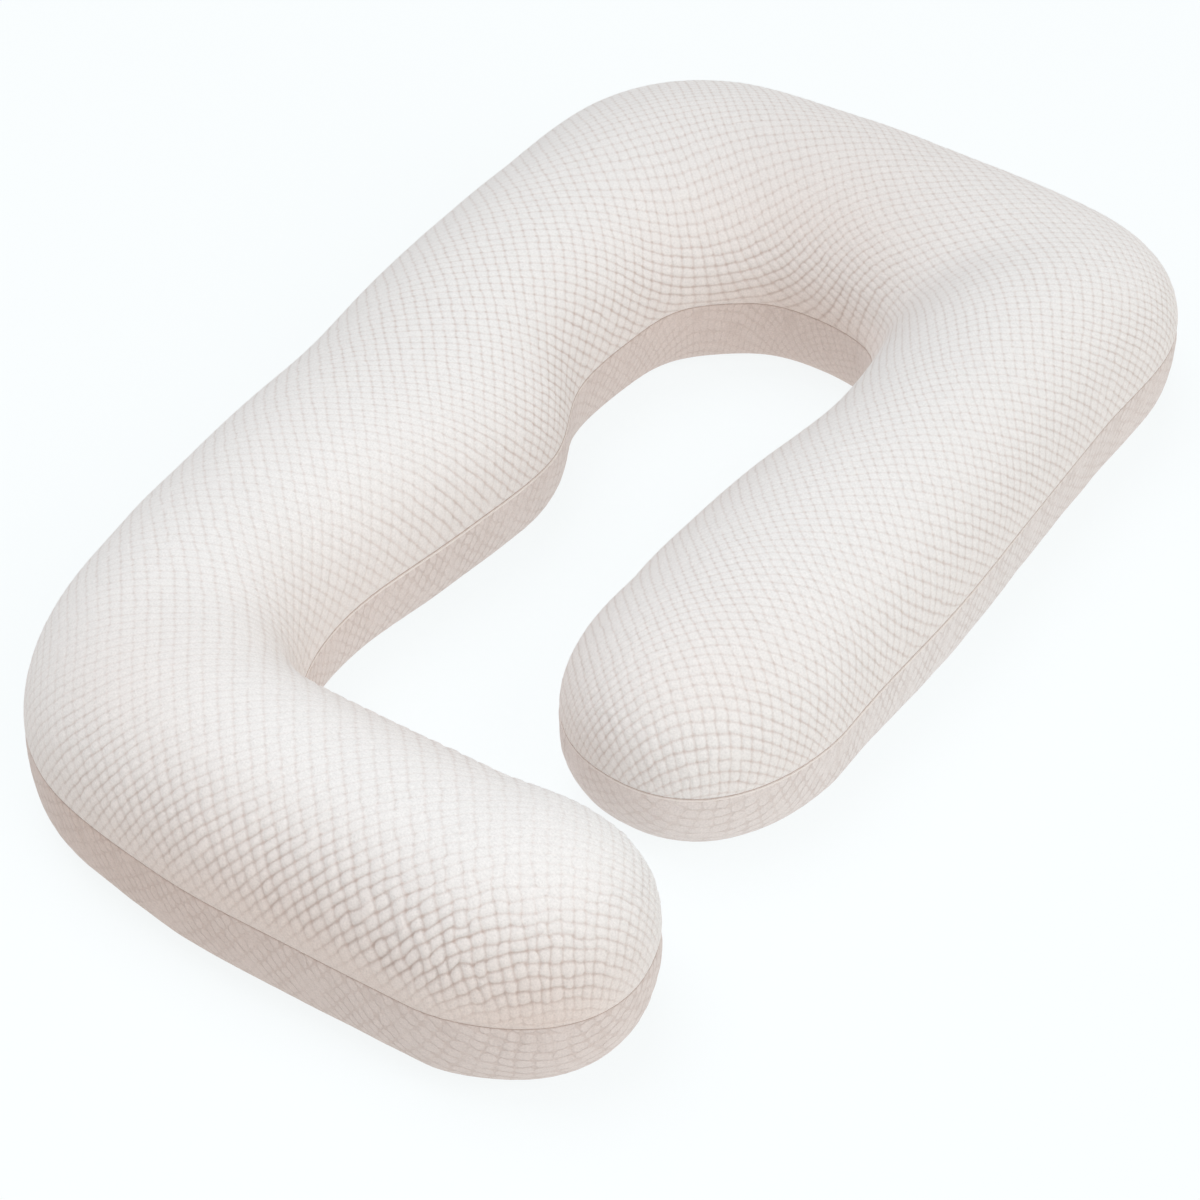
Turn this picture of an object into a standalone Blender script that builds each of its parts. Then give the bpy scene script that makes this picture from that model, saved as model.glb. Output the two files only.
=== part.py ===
"""A full body pillow: one stuffed fabric tube that lies flat, bent round in a squared G.

Seen from above it has four arms. The foot arm runs along +X from the first corner to a free rounded end. The
long arm runs along +Y, with a belly bulge on its inner side. The head arm runs along +X at the top, and the
leg arm comes back down to a second free end, which stops a hand's width short of the foot arm.

The pillow is one filled solid, with the seam of its two panels drawn in all the way round. Metres, +Z up.
"""

import math
from collections import namedtuple

import bmesh
import bpy

# Each row is one section across the tube, from the free end of the foot arm round to that of the leg arm. Its
# outer and inner points are where the upper and lower panels meet, in plan, and its height is that of the crown.
Section = namedtuple("Section", "name outer_x outer_y inner_x inner_y height")
SECTIONS = (
    Section("foot_end", 0.615, 0.000, 0.560, 0.235, 0.220),
    Section("foot_middle", 0.470, 0.000, 0.430, 0.235, 0.220),
    Section("foot_root", 0.325, 0.005, 0.335, 0.236, 0.220),
    Section("first_corner_1", 0.160, 0.045, 0.305, 0.245, 0.215),
    Section("first_corner_2", 0.065, 0.145, 0.280, 0.268, 0.207),
    Section("long_root", 0.025, 0.305, 0.262, 0.315, 0.202),
    Section("belly_below", 0.010, 0.410, 0.255, 0.405, 0.192),
    Section("belly_low", 0.000, 0.535, 0.275, 0.545, 0.190),
    Section("belly_high", -0.005, 0.660, 0.285, 0.685, 0.190),
    Section("long_neck", -0.015, 0.805, 0.245, 0.790, 0.195),
    Section("long_top", -0.015, 0.975, 0.245, 0.890, 0.195),
    Section("second_corner_1", 0.005, 1.185, 0.260, 0.955, 0.200),
    Section("second_corner_2", 0.105, 1.295, 0.305, 1.000, 0.200),
    Section("head_middle", 0.280, 1.315, 0.345, 1.020, 0.200),
    Section("head_end", 0.435, 1.310, 0.410, 1.020, 0.200),
    Section("third_corner_1", 0.640, 1.285, 0.460, 1.005, 0.200),
    Section("third_corner_2", 0.720, 1.190, 0.475, 0.985, 0.205),
    Section("leg_root", 0.725, 1.020, 0.490, 0.950, 0.205),
    Section("leg_neck", 0.730, 0.860, 0.500, 0.835, 0.205),
    Section("leg_middle", 0.735, 0.705, 0.480, 0.700, 0.205),
    Section("leg_low", 0.730, 0.565, 0.470, 0.575, 0.200),
    Section("leg_end", 0.730, 0.490, 0.470, 0.520, 0.195),
)
RINGS_PER_SECTION = 2

# Each free end closes as a dome past its last section.
FOOT_DOME_LENGTH = 0.160
LEG_DOME_LENGTH = 0.175
DOME_RINGS = 5
DOME_LAST_TURN = math.radians(87)  # the last small ring of a dome, short of its tip
DOME_FULLNESS = 2.3  # 2 gives an elliptical dome in plan, and more a squarer one
CROWN_FALL = 0.9  # how the crown comes down as a dome narrows, as a power of its width
UNDERSIDE_RISE = 0.55  # how the underside comes up, likewise

# A section is a soft arch over the seam and a squarer form below it, pressed flat where it lies.
SEAM_SHARE = 0.445  # the seam's height as a share of the crown's
ARCH_FULLNESS = 2.0
UNDERSIDE_FULLNESS = 4.6
PRESSED_DEPTH = 0.005  # how far the underside would reach below the surface it lies on
ARCH_POINTS = 8
UNDERSIDE_POINTS = 8

SEAM_DRAWN_IN = 0.006  # the sewn channel's depth
SEAM_HALF_WIDTH = 0.009  # from the channel's bottom to its lip on each panel

FABRIC_COLOUR = (0.86, 0.84, 0.82, 1.0)
FABRIC_ROUGHNESS = 0.9
SUBDIVISIONS = 1


def clear_scene():
    for scene_object in list(bpy.data.objects):
        bpy.data.objects.remove(scene_object, do_unlink=True)


def section_at(place):
    """The section at a place along the rows, by a Catmull-Rom curve through them."""
    row = min(int(place), len(SECTIONS) - 2)
    part = place - row
    rows = [SECTIONS[min(max(row + step, 0), len(SECTIONS) - 1)] for step in (-1, 0, 1, 2)]
    weights = (
        -0.5 * part + part**2 - 0.5 * part**3,
        1 - 2.5 * part**2 + 1.5 * part**3,
        0.5 * part + 2 * part**2 - 1.5 * part**3,
        -0.5 * part**2 + 0.5 * part**3,
    )
    names, *columns = zip(*rows)
    sizes = [sum(weight * size for weight, size in zip(weights, column)) for column in columns]
    return Section(names[1], *sizes)


def arc_point(turn, fullness):
    """A point at this turn on a unit curve: a circle at a fullness of 2, squarer above it."""
    across, up = math.cos(turn), math.sin(turn)
    reach = (abs(across) ** fullness + abs(up) ** fullness) ** (-1 / fullness)
    return across * reach, up * reach


def section_outline(half_width, height, narrowing):
    """(across, up) points round one section from its outer seam over the crown, across from -1 to +1."""
    seam_up = height * SEAM_SHARE
    crown = (height - seam_up) * narrowing**CROWN_FALL
    depth = (seam_up + PRESSED_DEPTH) * narrowing**UNDERSIDE_RISE
    drawn_in = SEAM_DRAWN_IN * narrowing / half_width
    lip = SEAM_HALF_WIDTH * narrowing
    arch = [math.pi - math.pi * (step + 1) / (ARCH_POINTS + 1) for step in range(ARCH_POINTS)]
    under = [-math.pi * (step + 1) / (UNDERSIDE_POINTS + 1) for step in range(UNDERSIDE_POINTS)]
    outline = [(-1 + drawn_in, seam_up), (-1, seam_up + lip)]
    for turn in arch:
        across, up = arc_point(turn, ARCH_FULLNESS)
        outline.append((across, seam_up + lip + (crown - lip) * up))
    outline += [(1, seam_up + lip), (1 - drawn_in, seam_up), (1, seam_up - lip)]
    for turn in under:
        across, up = arc_point(turn, UNDERSIDE_FULLNESS)
        outline.append((across, max(0.0, seam_up - lip + (depth - lip) * up)))
    outline.append((-1, seam_up - lip))
    return outline


def ring_at(place, beyond=0.0, narrowing=1.0):
    """Points round the tube at a place, moved beyond it and narrowed for a dome."""
    section = section_at(place)
    middle = ((section.outer_x + section.inner_x) / 2, (section.outer_y + section.inner_y) / 2)
    half = ((section.inner_x - section.outer_x) / 2, (section.inner_y - section.outer_y) / 2)
    half_width = math.hypot(*half)
    along = (half[1] / half_width * beyond, -half[0] / half_width * beyond)
    points = []
    for across, up in section_outline(half_width, section.height, narrowing):
        x = middle[0] + half[0] * across * narrowing + along[0]
        y = middle[1] + half[1] * across * narrowing + along[1]
        points.append((x, y, up))
    return points


def dome_rings(place, length):
    """Rings from a free end's last section out to its tip."""
    rings = []
    for step in range(1, DOME_RINGS + 1):
        reach = math.sin(DOME_LAST_TURN * step / DOME_RINGS)
        narrowing = (1 - reach**DOME_FULLNESS) ** (1 / DOME_FULLNESS)
        rings.append(ring_at(place, length * reach, narrowing))
    return rings


def tube_rings():
    last = len(SECTIONS) - 1
    body = [ring_at(step / RINGS_PER_SECTION) for step in range(last * RINGS_PER_SECTION + 1)]
    return dome_rings(0, FOOT_DOME_LENGTH)[::-1] + body + dome_rings(last, -LEG_DOME_LENGTH)


def loft(mesh, rings):
    """One closed skin through the rings, with a face over each end."""
    loops = [[mesh.verts.new(point) for point in ring] for ring in rings]
    for here, there in zip(loops, loops[1:]):
        for side in range(len(here)):
            after = (side + 1) % len(here)
            mesh.faces.new((here[side], here[after], there[after], there[side]))
    mesh.faces.new(loops[0])
    mesh.faces.new(reversed(loops[-1]))
    bmesh.ops.recalc_face_normals(mesh, faces=mesh.faces)


def centre_over_origin(mesh):
    for axis in (0, 1):
        places = [vert.co[axis] for vert in mesh.verts]
        middle = (min(places) + max(places)) / 2
        for vert in mesh.verts:
            vert.co[axis] -= middle


def fabric():
    material = bpy.data.materials.new("white_bubble_knit")
    material.use_nodes = True
    shader = material.node_tree.nodes["Principled BSDF"]
    shader.inputs["Base Color"].default_value = FABRIC_COLOUR
    shader.inputs["Roughness"].default_value = FABRIC_ROUGHNESS
    shader.inputs["Metallic"].default_value = 0.0
    return material


def make_pillow(collection):
    mesh = bmesh.new()
    loft(mesh, tube_rings())
    centre_over_origin(mesh)
    data = bpy.data.meshes.new("filled_pillow")
    mesh.to_mesh(data)
    mesh.free()
    data.shade_smooth()
    data.materials.append(fabric())
    pillow = bpy.data.objects.new("filled_pillow", data)
    collection.objects.link(pillow)
    soften = pillow.modifiers.new("Soften", "SUBSURF")
    soften.levels = SUBDIVISIONS
    soften.render_levels = SUBDIVISIONS
    return pillow


def main():
    clear_scene()
    collection = bpy.data.collections.new("body_pillow")
    bpy.context.scene.collection.children.link(collection)
    make_pillow(collection)


main()
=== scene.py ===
import math

import bmesh
import bpy
import numpy as np
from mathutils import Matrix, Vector, noise
from mathutils.bvhtree import BVHTree


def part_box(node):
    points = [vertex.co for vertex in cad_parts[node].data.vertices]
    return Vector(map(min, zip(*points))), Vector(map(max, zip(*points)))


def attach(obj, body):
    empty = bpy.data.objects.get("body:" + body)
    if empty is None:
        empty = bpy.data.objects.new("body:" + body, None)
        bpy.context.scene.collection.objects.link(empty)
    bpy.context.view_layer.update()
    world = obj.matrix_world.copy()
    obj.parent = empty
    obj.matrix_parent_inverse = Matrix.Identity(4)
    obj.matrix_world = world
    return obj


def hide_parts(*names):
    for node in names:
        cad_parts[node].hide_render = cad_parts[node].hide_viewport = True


# A full body pillow in white bubble knit: an upper and a lower panel sewn together all round and stuffed.
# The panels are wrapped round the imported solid's own sections, and stand for it.

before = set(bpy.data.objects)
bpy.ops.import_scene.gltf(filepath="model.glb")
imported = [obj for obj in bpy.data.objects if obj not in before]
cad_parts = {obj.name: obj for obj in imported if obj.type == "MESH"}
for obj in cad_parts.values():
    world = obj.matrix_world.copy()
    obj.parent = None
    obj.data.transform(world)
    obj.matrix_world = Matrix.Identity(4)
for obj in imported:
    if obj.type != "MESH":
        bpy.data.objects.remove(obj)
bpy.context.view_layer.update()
print("frame loaded")


def linearColour(hexText):  # sRGB hex to the linear colour that a shader wants
    channels = [int(hexText[place:place + 2], 16) / 255 for place in (1, 3, 5)]
    return [c / 12.92 if c <= 0.04045 else ((c + 0.055) / 1.055) ** 2.4 for c in channels] + [1.0]


# A link is a value, a node or a (node, output) pair. A socket is named, or given by its number after a _.
def addNode(material, kind, settings=None, **links):
    node = material.node_tree.nodes.new(kind)
    for name, value in (settings or {}).items():
        setattr(node, name, value)
    for name, value in links.items():
        socket = node.inputs[int(name[1:])] if name[1:].isdigit() else node.inputs[name.replace("_", " ")]
        if isinstance(value, bpy.types.Node):
            value = (value, 0)
        if isinstance(value, tuple) and isinstance(value[0], bpy.types.Node):
            material.node_tree.links.new(value[0].outputs[value[1]], socket)
        else:
            socket.default_value = value
    return node


def emptyMaterial(name):
    material = bpy.data.materials.new(name)
    material.use_nodes = True
    material.node_tree.nodes.clear()
    return material


def newObject(name, data):
    thing = bpy.data.objects.new(name, data)
    bpy.context.scene.collection.objects.link(thing)
    return thing


def meshFrom(name, shape):
    mesh = bpy.data.meshes.new(name)
    shape.to_mesh(mesh)
    shape.free()
    return mesh


def aimThing(thing, place, way):
    thing.location = place
    thing.rotation_mode = "QUATERNION"
    thing.rotation_quaternion = way.to_track_quat("-Z", "Y")


# The studio: camera, floor and light
photoView = {
    "azimuth": 33.37,  # degrees round from the -Y side
    "elevation": 41.33,
    "distance": 3.313,
    "aim": (0.073, -0.1225, 0.08),
    "lens": 104.2,  # mm
    "sensor": 36,
}


def makeCamera():
    azimuth, elevation = math.radians(photoView["azimuth"]), math.radians(photoView["elevation"])
    back = Vector((
        math.sin(azimuth) * math.cos(elevation),
        -math.cos(azimuth) * math.cos(elevation),
        math.sin(elevation),
    ))
    lens = bpy.data.cameras.new("photo_camera")
    lens.lens = photoView["lens"]
    lens.sensor_width = photoView["sensor"]
    camera = newObject("photo_camera", lens)
    aimThing(camera, Vector(photoView["aim"]) + back * photoView["distance"], -back)
    bpy.context.scene.camera = camera


studio = {
    "floorSide": 40.0,
    "floorColour": "#FAFEFF",
    "floorRoughness": 0.95,
    "floorShare": 0.18,  # how much of the light on the table it gives back
    "floorGlow": 0.838,  # a lit table: this much of its brightness is its own
    "worldColour": "#FFF9F4",
    "worldStrength": 0.44,
    # name, kind, from here, towards here, size (a sun's in degrees, an area's in metres), strength, colour
    "lamps": (
        ("soft_sky_light", "SUN", (-1.15, 0.3, 3.0), (0.0, 0.0, 0.0), 45, 0.93, "#F3F8FF"),
        ("window_from_the_right", "SUN", (3.0, -0.3, 1.9), (0.0, 0.0, 0.0), 50, 0.92, "#FFFEFC"),
        ("lamp_over_the_foot", "AREA", (0.25, -1.2, 2.0), (0.05, -0.4, 0.0), 1.6, 7.5, "#FAFBFF"),
    ),
}


def makeFloor():
    side = bmesh.new()
    bmesh.ops.create_grid(side, x_segments=1, y_segments=1, size=studio["floorSide"] / 2)
    mesh = meshFrom("studio_floor", side)
    floor = newObject("studio_floor", mesh)
    paper = emptyMaterial("lit_white_table")  # an evenly lit white table, which takes almost no shadow
    colour = linearColour(studio["floorColour"])
    shade = [value * studio["floorShare"] for value in colour[:3]] + [1.0]
    shader = addNode(
        paper, "ShaderNodeBsdfPrincipled", Base_Color=shade, Roughness=studio["floorRoughness"],
        Specular_IOR_Level=0.0, Emission_Color=colour, Emission_Strength=studio["floorGlow"],
    )
    addNode(paper, "ShaderNodeOutputMaterial", Surface=shader)
    mesh.materials.append(paper)


def makeLights():
    for name, kind, position, aim, size, strength, colour in studio["lamps"]:
        light = bpy.data.lights.new(name, kind)
        if kind == "SUN":
            light.angle = math.radians(size)
        else:
            light.size = size
        light.energy = strength
        light.color = linearColour(colour)[:3]
        aimThing(newObject(name, light), Vector(position), Vector(aim) - Vector(position))

    world = bpy.data.worlds.new("studio_air")
    world.use_nodes = True
    background = world.node_tree.nodes["Background"]
    background.inputs["Color"].default_value = linearColour(studio["worldColour"])
    background.inputs["Strength"].default_value = studio["worldStrength"]
    bpy.context.scene.world = world
    bpy.context.scene.view_settings.view_transform = "Standard"


makeCamera()
makeFloor()
makeLights()
print("studio ready")


# The stuffed form, which both panels are wrapped round
filledForm = {
    # the tube's sections, from the foot arm's free end round to the leg arm's, in metres:
    # name, outer seam x and y, inner seam x and y, crown height
    "sections": (
        ("foot end", 0.615, 0.0, 0.56, 0.235, 0.22),
        ("foot middle", 0.47, 0.0, 0.43, 0.235, 0.22),
        ("foot root", 0.325, 0.005, 0.335, 0.236, 0.22),
        ("first corner 1", 0.16, 0.045, 0.305, 0.245, 0.215),
        ("first corner 2", 0.065, 0.145, 0.28, 0.268, 0.207),
        ("long root", 0.025, 0.305, 0.262, 0.315, 0.202),
        ("belly below", 0.01, 0.41, 0.255, 0.405, 0.192),
        ("belly low", 0.0, 0.535, 0.275, 0.545, 0.19),
        ("belly high", -0.005, 0.66, 0.285, 0.685, 0.19),
        ("long neck", -0.015, 0.805, 0.245, 0.79, 0.195),
        ("long top", -0.015, 0.975, 0.245, 0.89, 0.195),
        ("second corner 1", 0.005, 1.185, 0.26, 0.955, 0.2),
        ("second corner 2", 0.105, 1.295, 0.305, 1.0, 0.2),
        ("head middle", 0.28, 1.315, 0.345, 1.02, 0.2),
        ("head end", 0.435, 1.31, 0.41, 1.02, 0.2),
        ("third corner 1", 0.64, 1.285, 0.46, 1.005, 0.2),
        ("third corner 2", 0.72, 1.19, 0.475, 0.985, 0.205),
        ("leg root", 0.725, 1.02, 0.49, 0.95, 0.205),
        ("leg neck", 0.73, 0.86, 0.5, 0.835, 0.205),
        ("leg middle", 0.735, 0.705, 0.48, 0.7, 0.205),
        ("leg low", 0.73, 0.565, 0.47, 0.575, 0.2),
        ("leg end", 0.73, 0.49, 0.47, 0.52, 0.195),
    ),
    "footDome": 0.16,  # how far each free end reaches
    "legDome": 0.175,
    "domeFullness": 2.3,
    "crownFall": 0.9,  # how the crown comes down as a dome narrows
    "seamShare": 0.445,  # the seam's height as a share of the crown's
    "archFullness": 2.08,
    "outlineSoftness": 0.02,  # how widely the seam's line is rounded where a dome begins
    "fineSteps": 60,  # for each section, to measure along the tube
    "ringGap": 0.0085,  # from ring to ring along it
    "archPoints": 41,  # over the crown, from seam to seam
    "domeRings": 17,
    "saddleAt": 3.6,  # the section where the crown stays high nearly to the corner, and how far round
    "saddleReach": 1.3,
    "saddleFullness": 3.0,
    "saddleSeam": 0.31,  # and how much lower its seam lies
    "lumpDepth": 0.0016,  # the filling's unevenness
    "lumpSize": 0.11,
    "evenBySeam": 0.03,  # within this height of the seam it fades out
    "armHalfWidth": 0.12,  # of a usual section, for the length of cloth over it
    "armCrown": 0.11,
    "archSteps": 200,
    "cornerEase": 0.085,  # how gently the flat cloth turns round the inner corners
    "easeFrom": (0.3, 1.0),  # sections from a free end, where that easing begins and where it is full
    "patternSplit": 0.62,  # of the way round, in the head arm: flat, the free ends lie over each other
    "patternLap": 0.05,
}


def sectionsAt(places):  # the table's sizes at places along it, by a Catmull-Rom curve
    table = np.array([row[1:] for row in filledForm["sections"]])
    row = np.clip(places.astype(int), 0, len(table) - 2)
    part = (places - row)[:, None]
    before, here, after, later = (table[np.clip(row + step, 0, len(table) - 1)] for step in (-1, 0, 1, 2))
    bend = 2 * before - 5 * here + 4 * after - later
    twist = 3 * (here - after) + later - before
    return here + part / 2 * (after - before + part * (bend + part * twist))


def softOutline(outer, inner):  # rounds off the seam's line where the arms go over into their domes
    loop = np.concatenate([outer, inner[::-1][1:-1]])
    gaps = np.hypot(*(np.roll(loop, -1, 0) - loop).T)
    walked = np.r_[0, np.cumsum(gaps)[:-1]]
    away = np.abs(walked[:, None] - walked)
    away = np.minimum(away, gaps.sum() - away)
    weight = np.exp(-((away / filledForm["outlineSoftness"]) ** 2)) * (gaps + np.roll(gaps, 1))
    loop = weight @ loop / weight.sum(1)[:, None]
    return loop[:len(outer)], np.concatenate([loop[len(outer) - 1:], loop[:1]])[::-1]


def makeRings():  # rings across the tube, from the foot arm's free end to the leg arm's
    form = filledForm
    last = len(form["sections"]) - 1
    fine = np.linspace(0, last, form["fineSteps"] * last)
    sizes = sectionsAt(fine)
    middles = (sizes[:, 0:2] + sizes[:, 2:4]) / 2
    travelled = np.r_[0, np.cumsum(np.hypot(*np.diff(middles, axis=0).T))]
    count = int(travelled[-1] / form["ringGap"])
    body = np.interp(np.linspace(0, travelled[-1], count), travelled, fine)
    reach = np.sin(np.linspace(0, math.pi / 2, form["domeRings"] + 1)[1:])
    narrow = np.maximum(1 - reach ** form["domeFullness"], 0) ** (1 / form["domeFullness"])
    places = np.r_[np.zeros(len(reach)), body, np.full(len(reach), last)]
    beyond = np.r_[form["footDome"] * reach[::-1], np.zeros(count), -form["legDome"] * reach]
    narrowing = np.r_[narrow[::-1], np.ones(count), narrow]
    travel = np.r_[np.zeros(len(reach)), np.linspace(0, 1, count), np.ones(len(reach))]
    sizes = sectionsAt(places)
    half = (sizes[:, 2:4] - sizes[:, 0:2]) / 2
    along = np.stack([half[:, 1], -half[:, 0]], 1) / np.hypot(*half.T)[:, None]
    middle = (sizes[:, 0:2] + sizes[:, 2:4]) / 2 + along * beyond[:, None]
    half = half * narrowing[:, None]
    outer, inner = softOutline(middle - half, middle + half)
    seamUp = sizes[:, 4] * form["seamShare"]
    crown = (sizes[:, 4] - seamUp) * narrowing ** form["crownFall"]
    saddle = np.exp(-(((places - form["saddleAt"]) / form["saddleReach"]) ** 2))
    return {
        "middle": (outer + inner) / 2, "half": (inner - outer) / 2, "seamUp": seamUp, "crown": crown,
        "innerSeamUp": seamUp * (1 - form["saddleSeam"] * saddle), "saddle": saddle,
        "fullCrown": sizes[:, 4] - seamUp, "place": places, "travel": travel,
        "dome": np.abs(beyond) / form["footDome"],
    }


def superellipse(turn, fullness):  # a unit circle at a fullness of 2, squarer above it
    across, up = np.cos(turn), np.sin(turn)
    reach = (np.abs(across) ** fullness + np.abs(up) ** fullness) ** (-1 / fullness)
    return across * reach, up * reach


rings = makeRings()


def centreOffset():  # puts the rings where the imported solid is
    low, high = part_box("filled_pillow")
    edges = np.concatenate([rings["middle"] + rings["half"], rings["middle"] - rings["half"]])
    return (np.array(low.xy) + np.array(high.xy)) / 2 - (edges.min(0) + edges.max(0)) / 2


rings["middle"] = rings["middle"] + centreOffset()


def meshArray(collection, name, width=3, kind=np.float64):
    values = np.empty(len(collection) * width, kind)
    collection.foreach_get(name, values)
    return values.reshape(-1, width) if width > 1 else values


def setPointValues(mesh, name, values):
    layer = mesh.attributes.new(name, "FLOAT", "POINT")
    layer.data.foreach_set("value", values.astype(np.float32))


def unit(vectors):
    return vectors / np.maximum(np.linalg.norm(vectors, axis=-1), 1e-9)[..., None]


def smoothStep(values, low, high):
    share = np.clip((values - low) / (high - low), 0, 1)
    return share * share * (3 - 2 * share)


def near(points, centre, radius):  # 1 at a place in plan, falling softly to 0 round it
    away = points[..., :2] - np.array(centre)
    return np.exp(-(away ** 2).sum(-1) / radius ** 2)


def changedAt(points, places):  # 1, but more or less near each place: centre, radius, how much more
    share = np.ones(points.shape[:-1])
    for centre, radius, more in places:
        share *= 1 + more * near(points, centre, radius)
    return share


def clothGrid(name, points, values):  # quads moved into place, with values at every point
    columns, rowCount = points.shape[:2]
    grid = bmesh.new()
    bmesh.ops.create_grid(grid, x_segments=columns - 1, y_segments=rowCount - 1, size=0.5)
    mesh = meshFrom(name, grid)
    at = meshArray(mesh.vertices, "co") + 0.5
    order = np.rint(at[:, 0] * (columns - 1)).astype(int), np.rint(at[:, 1] * (rowCount - 1)).astype(int)
    mesh.vertices.foreach_set("co", points[order].ravel())
    for valueName, value in values.items():
        setPointValues(mesh, valueName, value[order])
    return mesh, order


seamLook = {
    "drawnIn": 0.0012,  # how far the stitches pull both panels in, and over what height
    "width": 0.0036,
    "allowance": 0.01,  # the cloth folded away inside, and its half gap from the other panel's
    "allowanceRise": 0.0006,
    "cordGap": 0.004,  # from point to point of the thread and the lip
    "threadRadius": 0.0004,
    "threadSunk": 0.0002,  # further in than the panels are drawn
    "lipRadius": 0.0012,
    "lipInside": 0.0011,
    "lipDrop": 0.0021,
    "lipPlaces": (((0.375, -0.05), 0.34), ((-0.095, -0.1), 0.26)),  # where it stands out, and how widely
    "lipThickness": (0.1, 1.05, 0.3, 0.035),  # elsewhere and at those places, how uneven, over what length
    "linePoints": 6000,  # along the whole seam
    "lineSoftness": 14.0,  # in those points, for the way in, and its reach
    "lineReach": 30,
    "wayStep": 3,
}


def drawnAt(fromSeam):  # how far the stitches pull the cloth in, this far from the seam
    return seamLook["drawnIn"] * np.exp(-((fromSeam / seamLook["width"]) ** 2))


def turnEdgesIn(cloth, rise):  # the seam allowance, folded away inside the pillow
    rim = [edge for edge in cloth.edges if edge.is_boundary]
    made = bmesh.ops.extrude_edge_only(cloth, edges=rim)["geom"]
    folded = {item for item in made if isinstance(item, bmesh.types.BMVert)}
    for vert in folded:
        root = next(edge.other_vert(vert) for edge in vert.link_edges if edge.other_vert(vert) not in folded)
        others = {edge.other_vert(root) for edge in root.link_edges} - folded
        outward = sum((other.normal for other in others), root.normal.copy())  # a sliver's own can be wrong
        inward = -Vector((outward.x, outward.y, 0)).normalized()
        vert.co = root.co + inward * seamLook["allowance"] + Vector((0, 0, rise))


def finishPanel(name, cloth, rise):
    cloth.normal_update()
    turnEdgesIn(cloth, rise)
    mesh = meshFrom(name, cloth)
    mesh.shade_smooth()
    print(name.replace("_", " ") + ":", len(mesh.polygons), "faces")
    return newObject(name, mesh)


# Troughs pressed by hand where arms meet: from, to (in plan, from the centre), depth, half width
softTroughs = (
    ("head and leg arm", (0.1, 0.345), (0.225, 0.48), 0.009, 0.034),
    ("neck of the long arm", (-0.125, 0.2), (-0.2, 0.215), 0.004, 0.06),
)
troughFade = 1.2  # how a trough runs out towards its far end


def pressTroughs(points):  # how far each point sinks
    sink = np.zeros(len(points))
    for _, start, end, depth, width in softTroughs:
        start, end = np.array(start), np.array(end)
        run = end - start
        share = np.clip(((points[:, :2] - start) @ run) / (run @ run), 0, 1)
        away = np.hypot(*(points[:, :2] - start - share[:, None] * run).T)
        sink += depth * (1 - share) ** troughFade * np.exp(-((away / width) ** 2))
    return sink


def makeUpperForm():  # a smooth open shell over the crown, from seam to seam
    turns = np.linspace(0, math.pi, filledForm["archPoints"])
    across, up = superellipse(turns, filledForm["archFullness"])
    plan = rings["middle"][:, None] + rings["half"][:, None] * across[:, None]
    full = filledForm["saddleFullness"]
    level = (1 - np.clip(across, 0, 1) ** full) ** (1 / full)
    inner = across > 0
    up = up + np.where(inner, rings["saddle"][:, None], 0) * (level - up)
    seamUp = np.where(inner, rings["innerSeamUp"][:, None], rings["seamUp"][:, None])
    above = (rings["seamUp"][:, None] + rings["crown"][:, None] - seamUp) * up
    points = np.concatenate([plan, (seamUp + above)[..., None]], -1)
    travel = rings["travel"][:, None] + 0 * across
    mesh, order = clothGrid("upper_form", points, {"travel": travel, "aboveSeam": above})
    normals = np.zeros(points.shape)
    normals[order] = meshArray(mesh.vertex_normals, "vector")
    shareUp = np.clip(above / rings["fullCrown"][:, None], 0, 1)
    flat = plan + wayOut(plan, normals) * clothBeyondPlan(shareUp)[..., None]
    for axis, name in enumerate(("flatX", "flatY")):
        setPointValues(mesh, name, flat[..., axis][order])
    shell = bmesh.new()
    shell.from_mesh(mesh)
    bmesh.ops.remove_doubles(shell, verts=shell.verts, dist=1e-5)
    shell.to_mesh(mesh)
    shell.free()
    return mesh


def wayOut(plan, normals):  # in plan, turning gently at inner corners so that flat cloth can't fold over
    way = unit(normals[..., :2])
    way[0], way[-1] = way[1].mean(0), way[-2].mean(0)
    steps = np.hypot(*np.moveaxis(np.diff(plan, axis=0), -1, 0))
    walked = np.concatenate([np.zeros((1, plan.shape[1])), np.cumsum(steps, 0)])
    last = len(filledForm["sections"]) - 1
    ease = filledForm["easeFrom"]
    share = smoothStep(rings["place"], *ease) * smoothStep(last - rings["place"], *ease)
    soft = np.empty_like(way)
    for column in range(way.shape[1]):
        away = walked[:, column, None] - walked[None, :, column]
        soft[:, column] = np.exp(-((away / filledForm["cornerEase"]) ** 2)) @ way[:, column]
    return unit(way + share[:, None, None] * (unit(soft) - way))


def clothBeyondPlan(shareUp):  # how much further the cloth runs than its plan, from the crown to this height
    turns = np.linspace(math.pi / 2, 0, filledForm["archSteps"])
    across, up = superellipse(turns, filledForm["archFullness"])
    run, drop = across * filledForm["armHalfWidth"], up * filledForm["armCrown"]
    length = np.r_[0, np.cumsum(np.hypot(np.diff(run), np.diff(drop)))]
    return np.interp(1 - shareUp, 1 - up, length - run)


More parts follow.
